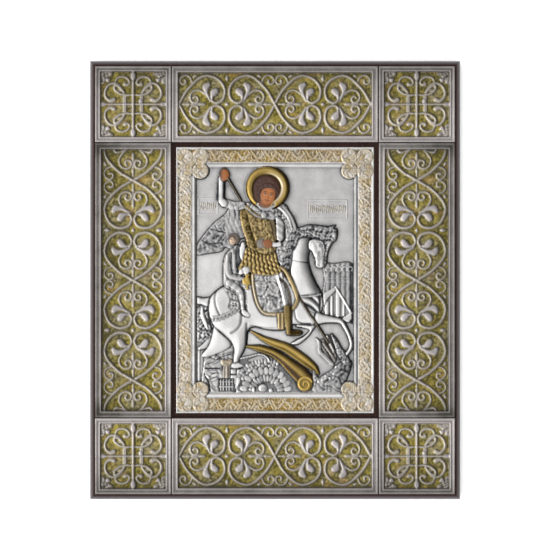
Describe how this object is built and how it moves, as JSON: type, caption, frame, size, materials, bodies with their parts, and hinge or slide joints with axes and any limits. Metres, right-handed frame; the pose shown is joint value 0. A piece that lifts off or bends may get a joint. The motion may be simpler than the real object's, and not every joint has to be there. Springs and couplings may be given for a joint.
{
  "type": "icon panel",
  "caption": "Wall or shelf icon panel: a stamped silver relief plaque of a mounted dragon slayer, framed by embossed scrollwork tiles on a dark wooden board.",
  "frame": {"origin": "middle of the board's flat back, which lies on the surface", "axes": "+Z out of the panel's face, +Y towards the top of the picture, +X to the viewer's right"},
  "size_m": [0.281, 0.3328, 0.0208],
  "materials": {
    "dark_wood": "dark stain under satin lacquer",
    "oxidised_silver": "stamped silver plate, oxidised in the hollows, with a gilded stippled ground",
    "bright_silver": "stamped silver plate, polished, with gilded and enamelled parts"
  },
  "bodies": {
    "root": {"wooden_board": "dark_wood", "corner_tile_top_left": "oxidised_silver", "corner_tile_top_right": "oxidised_silver", "corner_tile_bottom_left": "oxidised_silver", "corner_tile_bottom_right": "oxidised_silver", "side_panel_left": "oxidised_silver", "side_panel_right": "oxidised_silver", "top_panel": "oxidised_silver", "bottom_panel": "oxidised_silver", "icon_plaque": "bright_silver"}
  },
  "joints": []
}
